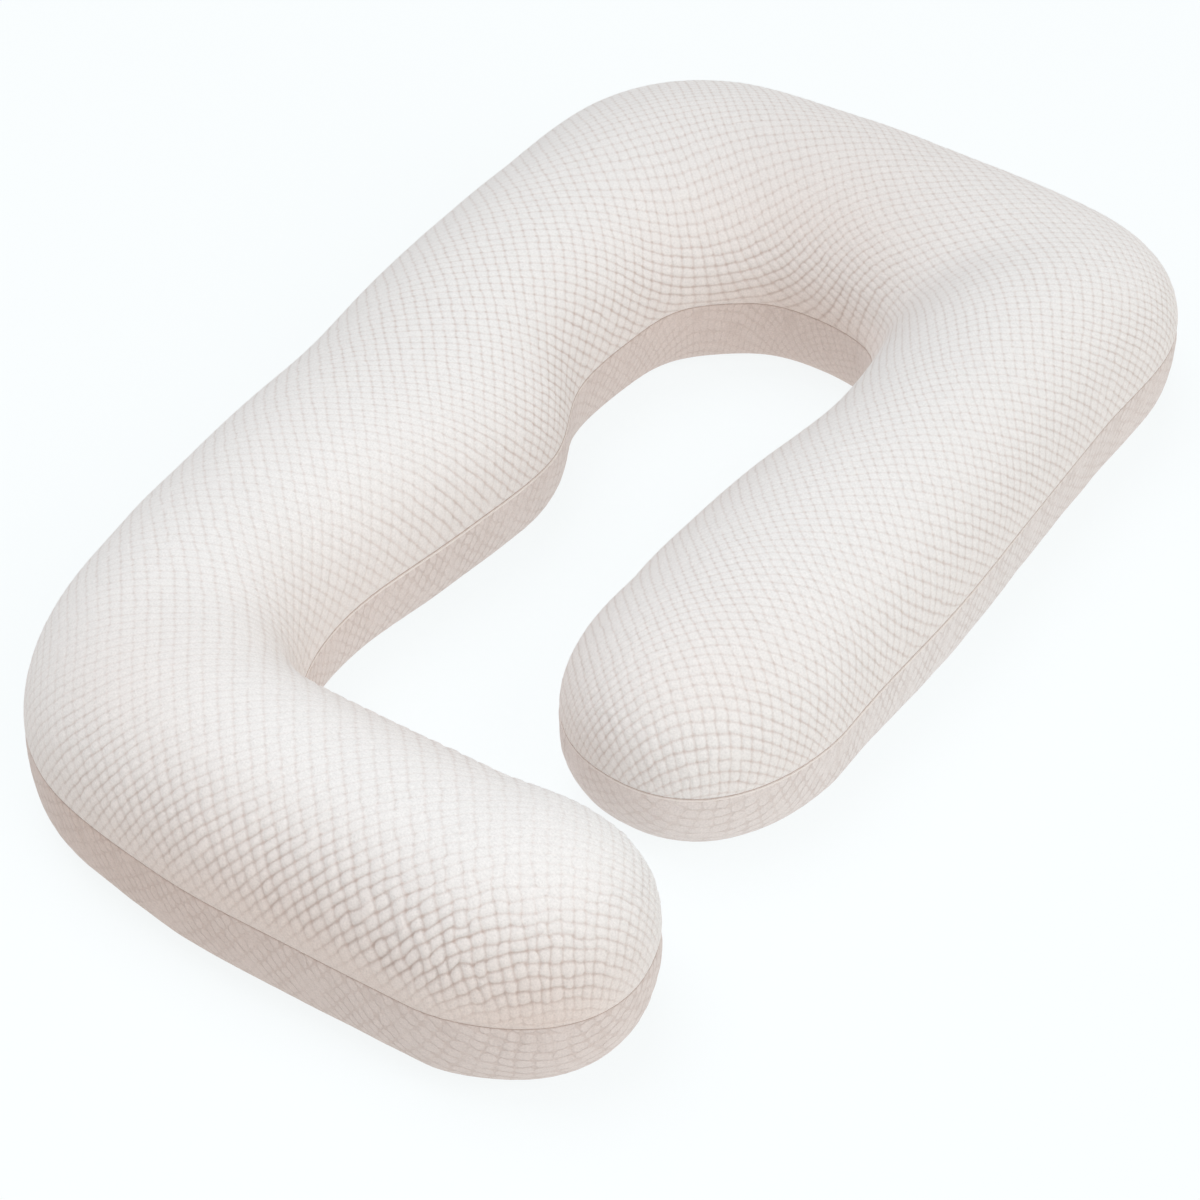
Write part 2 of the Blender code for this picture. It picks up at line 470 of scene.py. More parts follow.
# The upper panel's knit. Places are in plan, from the pillow's centre: ((x, y), radius, how much)
bubbleKnit = {
    "cellWide": 0.0113,  # along a row, from groove to groove
    "cellTall": 0.0097,  # from row to row
    "lie": (133.7, 43.7),  # degrees from +X that its columns and rows run: it is cut on the bias
    "points": (0.0, 0.27, 0.73),  # where a cell's points lie between two grooves
    "roundness": 2.4,  # 2 makes a bubble's groove a circle, and more a squarer one
    "margin": 0.01,  # of flat cloth round the form
    "reach": 0.008,  # how far off the form a point may still be
    "seed": 11,
    # how uneven it is: usual, spread, least and most
    "crossingShift": 0.001,
    "grooveShift": 0.0011,
    "columnCut": (0.92, 0.13, 0.15, 1.1),  # how deep the grooves are
    "rowCut": (0.88, 0.12, 0.25, 1.1),
    "plump": (1.0, 0.14, 0.6, 1.4),
    "lostColumns": (0.018, 0.12),  # the share where two bubbles run into one, and the depth left there
    "lostRows": (0.01, 0.25),
    "lively": (0.45, 1.15),  # the share of that shifting on most of the cloth, and in the foot arm's end
    "livelyAt": ((0.29, -0.62), 0.11),
    # how far the rows wander, over what length, by how many waves, each how much longer
    "drift": 0.003,
    "driftSize": 0.16,
    "driftWaves": 3,
    "driftLonger": 0.37,
    "driftTurns": (0.7, 1.9, 2.1, 1.3),  # radians: the first wave's way, the steps to the next, their phase
    # parts of the cloth, by how it stands or faces: where each begins, and where it is full
    "sides": (0.05, 0.5),
    "away": (0.15, 0.6),  # towards -X, where the bubbles are drawn flat
    "front": (0.3, 0.9),  # towards +X or -Y
    "footFront": ((0.18, -0.6), 0.24),
    "footSteep": (0.03, 0.34),
    "footFrom": (0.4, 0.5),  # metres towards -Y
    # how high a bubble stands
    "bubbleSlope": (0.3, 1.15),  # where it begins to fall into its groove, and where it has
    "level": 0.6,  # this share of its height lies below the form
    "rise": (0.0006, 0.001, 0.0017),  # on the flat crown, more on the sides, more on the foot arm's front
    "riseLostAway": 0.35,
    "smoothBySeam": (0.001, 0.02, 0.022),  # where bubbles begin, are full, and how much later at the foot arm
    # how plain the grooves are to see, the knit's net with painted shade in it, in the same three places
    "plain": (0.42, 0.3, 0.34),
    "seamShare": (0.7, 0.012),  # what is left of that at the seam, and within what height
    "lostBelowFoot": 0.75,
    "footReach": (0.006, 0.042),
    # the grooves' painted shade changes with the way the cloth faces
    "columnsLostInFront": 0.45,
    "rows": (0.74, 0.4, 0.6),  # how plain, how much more in front, how much is lost away
    "dotsLostOnSides": 0.55,
    # where they are plainer or fainter: all, those along columns, those along rows
    "plainer": (
        ((0.28, -0.49), 0.13, -0.6), ((0.02, -0.44), 0.11, -0.45), ((-0.02, 0.45), 0.24, 0.5),
        ((0.24, -0.22), 0.15, 0.2), ((0.3, -0.64), 0.12, 0.35), ((-0.2, 0.05), 0.2, 0.3),
    ),
    "plainerColumns": (
        ((-0.02, 0.45), 0.18, -0.45), ((-0.08, -0.115), 0.11, -0.75), ((-0.19, -0.59), 0.11, -0.6),
    ),
    "plainerRows": (
        ((-0.21, -0.25), 0.2, -0.4), ((0.02, -0.47), 0.15, -0.45), ((-0.08, -0.115), 0.11, 0.45),
        ((-0.19, -0.59), 0.11, 0.35),
    ),
    # painted shade: how much of it steep cloth takes, where there is more (painted shade) or less (painted
    # light), and where the crown takes it too
    "paintedShadeShare": 0.42,
    "paintedShadeAndLightAt": (
        ((0.1, -0.64), 0.28, 0.75), ((0.01, 0.44), 0.16, 0.75), ((0.28, -0.43), 0.11, -0.65),
        ((0.16, 0.23), 0.08, -0.35), ((0.37, -0.63), 0.08, 0.3),
    ),
    "crownPaintedShadeAt": (
        ((-0.03, 0.42), 0.15, 0.3), ((0.288, -0.27), 0.13, 0.16), ((-0.15, -0.56), 0.11, 0.16),
    ),
    # where the cloth is pulled: middle, radius, lie there, how many times wider and taller cells are
    "pulls": (
        ("foot arm's top", (0.1, -0.53), 0.21, (125.0, 48.0), 1.22, 0.89),
        ("foot arm's front", (0.1, -0.7), 0.16, (128.0, 46.0), 1.09, 1.12),
        ("first outer corner", (-0.22, -0.48), 0.17, (131.0, 33.0), 1.12, 0.85),
        ("below that corner", (-0.26, -0.62), 0.12, (116.0, 22.0), 1.06, 1.04),
        ("long arm", (-0.17, -0.18), 0.28, (130.0, 20.0), 1.05, 0.97),
        ("belly's inner side", (-0.05, -0.11), 0.13, (142.0, 28.0), 1.12, 1.36),
        ("neck's inner side", (-0.09, 0.24), 0.1, (134.0, 28.0), 0.94, 1.06),
        ("second outer corner", (-0.18, 0.4), 0.14, (137.0, 51.0), 0.88, 1.42),
        ("head arm", (-0.02, 0.52), 0.24, (134.0, 38.0), 0.83, 1.28),
        ("third outer corner", (0.3, 0.38), 0.16, (121.0, 41.0), 1.06, 0.94),
        ("leg arm", (0.27, -0.02), 0.32, (140.0, 40.0), 0.88, 1.02),
        ("leg arm's outer side", (0.33, -0.12), 0.16, (149.0, 21.0), 1.02, 1.18),
        ("leg arm's end", (0.27, -0.35), 0.12, (138.0, 54.0), 1.02, 1.26),
    ),
    # where it is gathered into smaller cells, with the same numbers
    "gathers": (
        ("foot and long arm", (-0.06, -0.36), 0.08, (129.0, 51.0), 0.87, 0.76),
        ("head arm's inner side", (0.03, 0.35), 0.09, (158.0, 64.0), 0.65, 0.9),
    ),
}


def uneven(random, look, nodes):
    usual, spread, least, most = look
    return np.clip(random.normal(usual, spread, nodes), least, most)


def cellGrid(columns, rowCount, random):  # the place and the look of every point of every bubble
    knit = bubbleKnit
    wide, tall = knit["cellWide"], knit["cellTall"]
    part = np.array(knit["points"])
    nodes = (columns + 2, rowCount + 2)
    shiftX, shiftY = random.normal(0, knit["crossingShift"], (2,) + nodes)
    rowBend, columnBend = random.normal(0, knit["grooveShift"], (2,) + nodes)
    columnCut = uneven(random, knit["columnCut"], nodes)
    rowCut = uneven(random, knit["rowCut"], nodes)
    for cut, (share, left) in ((columnCut, knit["lostColumns"]), (rowCut, knit["lostRows"])):
        cut[random.random(nodes) < share] = left
    plump = uneven(random, knit["plump"], nodes)
    # i and j count whole cells, a and b are the shares of the way across one
    fineX, fineY = np.arange(columns * len(part) + 1), np.arange(rowCount * len(part) + 1)
    i, a = (fineX // len(part))[:, None], part[fineX % len(part)][:, None]
    j, b = (fineY // len(part))[None, :], part[fineY % len(part)][None, :]
    corners = (
        (i, j, (1 - a) * (1 - b)), (i + 1, j, a * (1 - b)),
        (i, j + 1, (1 - a) * b), (i + 1, j + 1, a * b),
    )
    moveX, moveY = (sum(shift[p, q] * share for p, q, share in corners) for shift in (shiftX, shiftY))
    moveX = moveX + np.sin(math.pi * b) * ((1 - a) * columnBend[i, j] + a * columnBend[i + 1, j])
    moveY = moveY + np.sin(math.pi * a) * ((1 - b) * rowBend[i, j] + b * rowBend[i, j + 1])
    columnEdge, rowEdge = np.abs(2 * a - 1) + 0 * b, np.abs(2 * b - 1) + 0 * a
    columnCut = columnCut[i + (a > 0.5), j] + 0 * b
    rowCut = rowCut[i, j + (b > 0.5)] + 0 * a
    power = knit["roundness"]
    both = columnEdge ** power + rowEdge ** power
    cutHere = (columnEdge ** power * columnCut + rowEdge ** power * rowCut) / both
    bubble = (1 - cutHere * smoothStep(both ** (1 / power), *knit["bubbleSlope"])) * plump[i, j]
    return {
        "x": (i + a) * wide + 0 * b, "y": (j + b) * tall + 0 * a,
        "moveX": moveX, "moveY": moveY, "bubble": bubble,
        "columnEdge": columnEdge, "rowEdge": rowEdge, "columnCut": columnCut, "rowCut": rowCut,
    }


def wander(points):  # a smooth drift of the cloth, so no row is quite straight
    knit = bubbleKnit
    first, axisTurn, waveTurn, phase = knit["driftTurns"]
    drift = np.zeros_like(points)
    for axis in range(2):
        for wave in range(knit["driftWaves"]):
            turn = first + axisTurn * axis + waveTurn * wave
            size = knit["driftSize"] * (1 + knit["driftLonger"] * wave)
            way = np.array([math.cos(turn), math.sin(turn)]) * 2 * math.pi / size
            drift[:, axis] += np.sin(points @ way + phase * wave + axis) * knit["drift"] / knit["driftWaves"]
    return points + drift


def phaseWays(lie, wider, taller):  # the ways in plan that count such grooves' columns and rows
    columns, rowWay = math.radians(lie[0] - 90), math.radians(lie[1] + 90)
    return np.array([
        [math.cos(columns) / wider, math.cos(rowWay) / taller],
        [math.sin(columns) / wider, math.sin(rowWay) / taller],
    ])


def rowsFirst(plan):  # turned so that x runs along the rows, with the cloth's pulls let out
    usual = phaseWays(bubbleKnit["lie"], 1, 1)
    turned = plan @ usual
    for kind in ("pulls", "gathers"):
        for _, centre, radius, lie, wider, taller in bubbleKnit[kind]:
            away = plan - np.array(centre)
            wide = 1 / (1 + (away ** 2).sum(1) / radius ** 2)  # a gather reaches further than a pull
            close = near(plan, centre, radius) if kind == "pulls" else wide
            turned += away @ (phaseWays(lie, wider, taller) - usual) * close[:, None]
    return turned


def stuffedForm():  # the form with its lumps and troughs, and where its points lie in the flat cloth
    form = makeUpperForm()
    points, normals = meshArray(form.vertices, "co"), meshArray(form.vertex_normals, "vector")
    names = ("travel", "aboveSeam", "flatX", "flatY")
    travel, above, flatX, flatY = (meshArray(form.attributes[name].data, "value", 1) for name in names)
    form.calc_loop_triangles()
    triangles = meshArray(form.loop_triangles, "vertices", 3, np.int32)
    size, depth = filledForm["lumpSize"], filledForm["lumpDepth"]
    lumps = np.array([noise.noise(Vector(point) / size) for point in points]) * depth
    moved = (lumps - pressTroughs(points)) * smoothStep(above, 0, filledForm["evenBySeam"])
    points += normals * moved[:, None]
    return {
        "points": points, "normals": normals, "travel": travel, "above": above, "triangles": triangles,
        "turned": rowsFirst(np.stack([flatX, flatY], 1)),
    }


def spreadCells(turned):  # all the cells that the form needs, and where their points lie
    knit = bubbleKnit
    random = np.random.default_rng(knit["seed"])
    low = turned.min(0) - knit["margin"]
    columns, rowCount = ((turned.max(0) - low) / [knit["cellWide"], knit["cellTall"]]).astype(int) + 2
    cells = cellGrid(columns, rowCount, random)
    spots = np.stack([cells["x"].ravel(), cells["y"].ravel()], 1) + low
    centre, radius = knit["livelyAt"]
    calm, most = knit["lively"]
    lively = near(spots, rowsFirst(np.array([centre]))[0], radius)
    moves = np.stack([cells["moveX"].ravel(), cells["moveY"].ravel()], 1)
    spots += moves * (calm + (most - calm) * lively)[:, None]
    return cells, wander(spots)


def findOnForm(turned, kept, spots):  # which are on it, how far off, in which triangle and where in it
    tree = BVHTree.FromPolygons([(x, y, 0) for x, y in turned], kept.tolist())
    found = [tree.find_nearest((x, y, 0), bubbleKnit["reach"]) for x, y in spots.tolist()]
    inside = np.array([hit[0] is not None for hit in found])
    nowhere = (Vector(), None, 0, 1)
    nearest, _, numbers, apart = zip(*(hit if on else nowhere for hit, on in zip(found, inside)))
    corner, nearest, apart = kept[list(numbers)], np.array(nearest)[:, :2], np.array(apart)
    one, two, three = (turned[corner[:, side]] for side in range(3))
    edgeA, edgeB, reach = two - one, three - one, nearest - one
    area = edgeA[:, 0] * edgeB[:, 1] - edgeA[:, 1] * edgeB[:, 0]
    shareB = (reach[:, 0] * edgeB[:, 1] - reach[:, 1] * edgeB[:, 0]) / area
    shareC = (edgeA[:, 0] * reach[:, 1] - edgeA[:, 1] * reach[:, 0]) / area
    return inside, apart, corner, np.stack([1 - shareB - shareC, shareB, shareC], 1)


def knitOver(spot, normal, above, cells):  # where each point of the knit lies, and how it looks there
    knit = bubbleKnit
    shape = cells["x"].shape
    steep = 1 - np.clip(normal[:, 2], 0, 1)
    foot = near(spot, *knit["footFront"]) * smoothStep(steep, *knit["footSteep"])
    foot = foot * smoothStep(-spot[:, 1], *knit["footFrom"])
    sides = smoothStep(steep, *knit["sides"])
    away = smoothStep(-normal[:, 0], *knit["away"])
    front = smoothStep(np.maximum(normal[:, 0], -normal[:, 1]), *knit["front"])

    usual, moreOnSides, moreAtFoot = knit["rise"]
    rise = usual + moreOnSides * sides * (1 - away) + moreAtFoot * foot
    low, high, further = knit["smoothBySeam"]
    rise = rise * smoothStep(above, low, high + further * foot)
    rise = rise * (1 - knit["riseLostAway"] * away)
    lift = (cells["bubble"].ravel() - knit["level"]) * rise
    place = spot + normal * lift[:, None] - unit(normal * [1, 1, 0]) * drawnAt(above)[:, None]

    usual, moreOnSides, moreAtFoot = knit["plain"]
    strength = usual + moreOnSides * sides + moreAtFoot * foot
    left, reach = knit["seamShare"]
    strength = strength * (left + (1 - left) * smoothStep(above, 0, reach))
    strength *= 1 - knit["lostBelowFoot"] * foot * (1 - smoothStep(above, *knit["footReach"]))
    strength *= changedAt(spot, knit["plainer"])
    columnsPlain = (1 - knit["columnsLostInFront"] * front) * changedAt(spot, knit["plainerColumns"])
    usual, moreInFront, lostAway = knit["rows"]
    rowsPlain = (usual + moreInFront * front - lostAway * away) * changedAt(spot, knit["plainerRows"])
    # painted shade and painted light by place, on the sides and on the crown
    paintedShade, crownPaintedShade = (changedAt(spot, knit[name]) - 1 for name in ("paintedShadeAndLightAt", "crownPaintedShadeAt"))
    values = {
        "columnEdge": cells["columnEdge"], "rowEdge": cells["rowEdge"],
        "columnCut": cells["columnCut"] * (strength * columnsPlain).reshape(shape),
        "rowCut": cells["rowCut"] * (strength * rowsPlain).reshape(shape),
        # dots: painted shade where grooves cross, less on the sides
        "dots": (1 - knit["dotsLostOnSides"] * sides).reshape(shape),
        # steep: the share of the shaded side colour over the lit crown colour, which is painted shade
        "steep": (steep * (knit["paintedShadeShare"] + paintedShade) + crownPaintedShade * (1 - sides)).reshape(shape),
    }
    return place.reshape(shape + (3,)), values


def upperPanel():
    form = stuffedForm()
    cells, spots = spreadCells(form["turned"])
    shape = cells["x"].shape
    cloth = bmesh.new()
    triangles = form["triangles"]
    meanTravel = form["travel"][triangles].mean(1)
    middle, lap = filledForm["patternSplit"], filledForm["patternLap"]
    for first in (True, False):  # in halves, since its ends lie over each other when flat
        kept = triangles[meanTravel < middle + lap] if first else triangles[meanTravel > middle - lap]
        inside, apart, corner, shares = findOnForm(form["turned"], kept, spots)
        spot, normal = ((form[name][corner] * shares[:, :, None]).sum(1) for name in ("points", "normals"))
        above, way = ((form[name][corner] * shares).sum(1) for name in ("above", "travel"))
        half, order = clothGrid("half", *knitOver(spot, unit(normal), above, cells))
        inside, apart, way = (values.reshape(shape)[order] for values in (inside, apart, way))
        side = meshArray(half.loops, "vertex_index", 1, np.int32).reshape(-1, 4)
        faceIn = inside[side].all(1) & (apart[side] < 1e-6).any(1)
        faceIn &= (way[side].mean(1) <= middle) == first
        keep = half.attributes.new("keep", "BOOLEAN", "FACE")
        keep.data.foreach_set("value", faceIn)
        cloth.from_mesh(half)
        bpy.data.meshes.remove(half)
    keepLayer = cloth.faces.layers.bool["keep"]
    bmesh.ops.delete(cloth, geom=[face for face in cloth.faces if not face[keepLayer]], context="FACES")
    bmesh.ops.remove_doubles(cloth, verts=cloth.verts, dist=2e-5)
    return finishPanel("upper_panel", cloth, seamLook["allowanceRise"])


def makeSeamRun():  # the seam as one closed line: place, the way in, height, nearness to a free end
    outer, inner = rings["middle"] - rings["half"], rings["middle"] + rings["half"]
    path = np.concatenate([outer, inner[::-1][1:]])
    gaps = np.hypot(*np.diff(path, axis=0).T)
    new = np.r_[True, gaps > 1e-6]
    travelled = np.r_[0, np.cumsum(gaps)][new]
    fine = np.linspace(0, travelled[-1], seamLook["linePoints"], endpoint=False)
    spot = np.stack([np.interp(fine, travelled, path[new, axis]) for axis in range(2)], 1)
    reach, step = seamLook["lineReach"], seamLook["wayStep"]
    kernel = np.exp(-((np.arange(-reach, reach + 1) / seamLook["lineSoftness"]) ** 2))
    wrapped = np.concatenate([spot[-reach:], spot, spot[:reach]])
    soft = np.stack([np.convolve(wrapped[:, axis], kernel / kernel.sum(), "valid") for axis in range(2)], 1)
    tangent = unit(np.roll(soft, -step, 0) - np.roll(soft, step, 0))
    up = np.r_[rings["seamUp"], rings["innerSeamUp"][::-1][1:]][new]
    dome = np.r_[rings["dome"], rings["dome"][::-1][1:]][new]
    return {
        "whole": travelled[-1], "at": fine, "spot": spot,
        "inward": np.stack([tangent[:, 1], -tangent[:, 0]], 1),
        "up": np.interp(fine, travelled, up), "dome": np.interp(fine, travelled, dome),
    }


def onSeam(name, distance):
    values = seamRun[name]
    whole = seamRun["whole"]
    at = np.r_[seamRun["at"], whole]
    if values.ndim == 1:
        return np.interp(distance % whole, at, np.r_[values, values[0]])
    return np.stack([np.interp(distance % whole, at, np.r_[column, column[0]]) for column in values.T], -1)


seamRun = makeSeamRun()

lowerCloth = {
    "alongGap": 0.0035,  # from point to point along the seam
    "downPoints": 34,
    "closerBySeam": 1.15,  # 1 spaces them evenly on the way down
    "profileSteps": 400,  # to measure the way down
    "halfWidth": 0.118,
    "depth": 0.095,
    "lastTurn": 70,  # degrees round, where the flat underside takes over
    "fullness": 4.0,
    "lessAtEnds": 0.8,
    "pressed": 0.005,  # how far the underside would reach below the table
    "puckerDepth": 0.0016,  # small gathers below the seam: how deep, then width, length and seed, how far
    "puckers": (0.0075, 0.03, 2.3),
    "puckerReach": 0.034,
    "puckerFrom": (0.001, 0.008),
    "calmAt": ((0.25, -0.3), 0.12),  # almost no gathers here
    "calmShare": 0.75,
    "slackDepth": 0.0016,  # and slacker waves all over the side
    "slack": (0.055, 0.055, 7.7),
    "slackFrom": 0.03,  # from the seam and from the table
    "sideways": (0.05, 0.3, 0.5),  # how far in waves push sideways, the least share of that, most downwards
    "netDepth": 0.9,  # how plain to see the stretched knit's net is, and where it is fainter
    "plainer": (((0.0, 0.4), 0.25, -0.3), ((0.25, -0.32), 0.12, -0.25)),
    "paintedShadeShare": (0.65, 0.25, 0.05),  # painted shade by the table, how much less by what height, and where it differs: more painted shade or painted light
    "paintedShadeAndLightAt": (
        ((0.0, 0.36), 0.2, 0.4), ((0.06, -0.64), 0.28, 0.35), ((-0.15, -0.6), 0.16, 0.4),
        ((0.37, 0.05), 0.3, -0.45), ((0.25, -0.33), 0.1, -0.15),
    ),
    "edgeShade": 0.7,  # painted shade where the cloth meets the table
    "edgeHeight": (0.001, 0.006),
    "gatherShade": 0.35,  # painted shade in the hollows between gathers
    "gatherFrom": (0.02, 0.28),
    "rimHeight": 0.02,  # below this the open edge is the underside's
}


def wrappedNoise(along, down, alongSize, downSize, seed):  # unevenness that meets itself round the seam
    radius = seamRun["whole"] / 2 / math.pi / alongSize
    turn = along / seamRun["whole"] * 2 * math.pi
    spots = np.stack([radius * np.cos(turn), radius * np.sin(turn), down / downSize + seed], -1)
    return np.array([noise.noise(Vector(spot)) for spot in spots.reshape(-1, 3)]).reshape(along.shape)


def lowerForm():  # how far along and down the cloth, the seam there, how far in and how high
    look = lowerCloth
    whole = seamRun["whole"]
    turns = np.linspace(0, math.radians(look["lastTurn"]), look["profileSteps"])
    across, down = superellipse(turns, look["fullness"])
    walked = np.r_[0, np.cumsum(np.hypot(np.diff(across) * look["halfWidth"], np.diff(down) * look["depth"]))]
    downwards = walked[-1] * np.linspace(0, 1, look["downPoints"]) ** look["closerBySeam"]
    columns = round(whole / look["alongGap"])
    along, downwards = np.meshgrid(np.linspace(0, whole, columns + 1), downwards, indexing="ij")
    spot, inward, up, dome = (onSeam(name, along) for name in ("spot", "inward", "up", "dome"))
    fullness = look["fullness"] - look["lessAtEnds"] * np.clip(dome, 0, 1)
    across, down = superellipse(np.interp(downwards, walked, turns), fullness)
    under = look["halfWidth"] * (1 - across)
    return along, downwards, spot, inward, under, np.maximum(up - (up + look["pressed"]) * down, 0)


def lowerWaves(along, downwards, spot, height):  # the gathers, and how far the cloth is pushed out in all
    look = lowerCloth
    gathers = wrappedNoise(along, downwards, *look["puckers"])
    gathers *= np.exp(-downwards / look["puckerReach"]) * smoothStep(downwards, *look["puckerFrom"])
    gathers *= 1 - look["calmShare"] * near(spot, *look["calmAt"])
    slack = wrappedNoise(along, downwards, *look["slack"]) * look["slackDepth"]
    slack *= smoothStep(downwards, 0.0, look["slackFrom"]) * smoothStep(height, 0.0, look["slackFrom"])
    return gathers, gathers * look["puckerDepth"] + slack - drawnAt(downwards)


def lowerPanel():
    look = lowerCloth
    along, downwards, spot, inward, under, height = lowerForm()
    gathers, push = lowerWaves(along, downwards, spot, height)
    width, least, mostDown = look["sideways"]
    sideways = np.clip(1 - under / width, 0, 1)
    plan = spot + inward * (under - push * (least + (1 - least) * sideways))[..., None]
    up = np.maximum(height - push * (1 - sideways) * mostDown, 0)
    points = np.concatenate([plan, up[..., None]], -1)

    # painted shade: darker and warmer by the table, more or less at places
    low, less, reach = look["paintedShadeShare"]
    paintedShade = low - less * smoothStep(height, 0.0, reach)
    for centre, radius, more in look["paintedShadeAndLightAt"]:
        paintedShade += more * near(spot, centre, radius)
    flat = spot + inward * downwards[..., None]  # the cloth before it was turned under
    turned = rowsFirst(flat.reshape(-1, 2)).reshape(flat.shape)
    # painted shade along the table edge and in the gathers' hollows
    contact = look["edgeShade"] * (1 - smoothStep(height, *look["edgeHeight"]))
    hollows = look["gatherShade"] * smoothStep(-gathers, *look["gatherFrom"])
    values = {
        "steep": paintedShade, "paintedFoldAndEdgeShade": np.maximum(hollows, contact),
        "net": look["netDepth"] * changedAt(spot, look["plainer"]),
        "columnPhase": turned[..., 0] / bubbleKnit["cellWide"],
        "rowPhase": turned[..., 1] / bubbleKnit["cellTall"],
    }
    grid, _ = clothGrid("lower_grid", points, values)
    cloth = bmesh.new()
    cloth.from_mesh(grid)
    bpy.data.meshes.remove(grid)
    bmesh.ops.remove_doubles(cloth, verts=cloth.verts, dist=2e-5)
    rim = [edge for edge in cloth.edges if edge.is_boundary]
    rim = [edge for edge in rim if max(vert.co.z for vert in edge.verts) < look["rimHeight"]]
    bmesh.ops.triangle_fill(cloth, use_beauty=True, use_dissolve=False, edges=rim)
    bmesh.ops.recalc_face_normals(cloth, faces=cloth.faces)
    return finishPanel("lower_panel", cloth, -seamLook["allowanceRise"])


def cordOnSeam(name, radius, inside, lift, thickness):  # a closed cord, thicker here and there
    count = int(seamRun["whole"] / seamLook["cordGap"])
    distance = np.linspace(0, seamRun["whole"], count, endpoint=False)
    spot = onSeam("spot", distance) + onSeam("inward", distance) * inside
    up = onSeam("up", distance) + lift
    curve = bpy.data.curves.new(name, "CURVE")
    curve.dimensions = "3D"
    curve.bevel_depth = radius
    curve.bevel_resolution = 2
    line = curve.splines.new("POLY")
    line.points.add(count - 1)
    line.use_cyclic_u = True
    for number, point in enumerate(line.points):
        point.co = (*spot[number], up[number], 1)
        point.radius = thickness(spot[number], distance[number])
    sketch = newObject("sketch", curve)
    bpy.context.view_layer.update()
    mesh = bpy.data.meshes.new_from_object(sketch.evaluated_get(bpy.context.evaluated_depsgraph_get()))
    bpy.data.objects.remove(sketch)
    mesh.name = name
    mesh.shade_smooth()
    return newObject(name, mesh)


def lipThickness(spot, distance):
    least, most, uneven, size = seamLook["lipThickness"]
    stands = max(near(spot, *place) for place in seamLook["lipPlaces"])
    wave = noise.noise(Vector((distance / size, 3.1, 0)))
    return max(least, most * stands + uneven * wave * stands)


# the seam's line, coloured dark as painted shade of the crevice between the panels
def seamThread():
    look = seamLook
    inside = look["drawnIn"] + look["threadSunk"]
    return cordOnSeam("seam_thread", look["threadRadius"], inside, 0.0, lambda *_: 1)


def seamLip():
    look = seamLook
    return cordOnSeam("seam_lip", look["lipRadius"], look["lipInside"], -look["lipDrop"], lipThickness)


knitLooks = {
    "white_bubble_knit": {  # a soft white knit, drawn warmer and darker with painted shade where it stands steep and in its grooves, over the knit's own net
        "crown": "#F6F6F5", "side": "#E6D8D0", "groove": "#BEA79C", "lineShare": 0.62, "bump": 1.0,
    },
    "stretched_bubble_knit": {  # the same knit pulled flat below the seam, its bubbles gone to a faint net, its colours darker and warmer as painted shade
        "crown": "#E9E3E0", "side": "#D8C6BD", "groove": "#B29A8E", "lineShare": 0.38, "bump": 0.7,
        "stretched": True,
    },
    "seam_thread_painted_shade": {"plain": "#B39A8D", "bump": 0.2},  # a thin warm grey line between the two panels: the seam, darkened as painted shade of its crevice
    "turned_seam_edge": {"plain": "#F1EAE5", "bump": 0.2},  # the plain folded edge that shows as a pale lip
}

knitYarn = {  # matt brushed cotton, the same for all of them
    "roughness": 0.92,
    "sheen": 0.2,
    "sheenRoughness": 0.45,
    "shine": 0.2,
    "fibres": (520.0, 3.0, 0.65),  # how many to a metre, their detail and how rough they look
    "speckle": (0.44, 0.78),  # how the fibres lighten and darken it
    "fuzz": 0.75,  # how much they stand up, and on the plain pieces
    "plainFuzz": 0.16,
    "bumpDepth": 0.001,
}


def mathNode(knit, operation, *inputs, clamp=False):
    links = {f"_{place}": value for place, value in enumerate(inputs)}
    return addNode(knit, "ShaderNodeMath", {"operation": operation, "use_clamp": clamp}, **links)


def times(knit, first, second):
    return mathNode(knit, "MULTIPLY", first, second)


def valueOf(knit, name):
    return addNode(knit, "ShaderNodeAttribute", {"attribute_name": name}), "Fac"


def softRange(knit, value, low, high, most=1.0):
    smooth = {"interpolation_type": "SMOOTHSTEP"}
    return addNode(knit, "ShaderNodeMapRange", smooth, Value=value, From_Min=low, From_Max=high, To_Max=most)


def mixColours(knit, share, first, second):  # a Mix node's colours are inputs 6 and 7 and output 2
    return addNode(knit, "ShaderNodeMix", {"data_type": "RGBA"}, Factor=share, _6=first, _7=second), 2


def cloudNode(knit, coordinates, scale, detail, roughness=0.5):
    place = (coordinates, "Object")
    return addNode(knit, "ShaderNodeTexNoise", Vector=place, Scale=scale, Detail=detail, Roughness=roughness)


def grooveReach(knit, columnEdge, columnCut, rowEdge, rowCut):  # nearness to each kind of groove and to any
    power = bubbleKnit["roundness"]
    column, row = (mathNode(knit, "POWER", edge, power) for edge in (columnEdge, rowEdge))
    both = mathNode(knit, "ADD", column, row)
    reach = mathNode(knit, "POWER", both, 1 / power)  # 1 along a groove and more where two cross
    weighed = mathNode(knit, "MULTIPLY_ADD", row, rowCut, times(knit, column, columnCut))
    return column, row, reach, mathNode(knit, "DIVIDE", weighed, mathNode(knit, "MAXIMUM", both, 0.0001))


# How near to a groove its shade begins and is full, and the same for its slope and for crossings
grooveShade = {
    "line": (0.7, 1.22),
    "slope": (0.25, 1.15),
    "crossing": (0.16, 0.95, 0.95),  # and how dark a crossing's dot is
}


